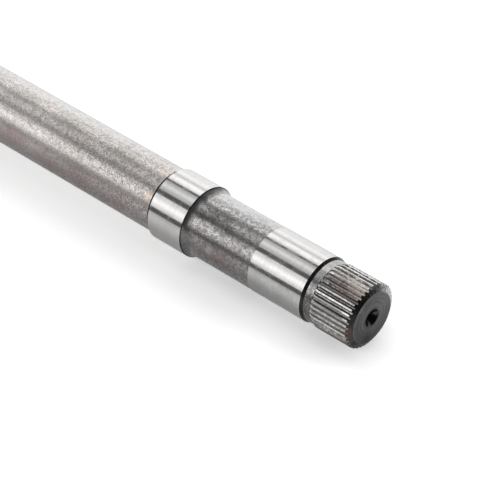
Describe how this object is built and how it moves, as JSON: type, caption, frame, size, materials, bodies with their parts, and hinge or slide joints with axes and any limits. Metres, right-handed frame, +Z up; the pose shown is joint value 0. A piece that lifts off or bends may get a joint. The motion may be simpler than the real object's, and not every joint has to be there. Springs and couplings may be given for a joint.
{
  "type": "axle shaft",
  "caption": "Straight steel axle shaft with an involute spline on one end, a ground seal land, a turned neck and a raised bearing land.",
  "frame": {"origin": "on the shaft's axis, at the middle of the raised bearing land", "axes": "+X along the shaft towards its splined end, +Z up as the shaft lies in the picture"},
  "size_m": [0.475, 0.0436, 0.0436],
  "materials": {
    "steel": "ground lands, turned bar and neck, darker turned chamfers, light staining"
  },
  "bodies": {
    "root": {"axle_shaft": "steel"}
  },
  "joints": []
}
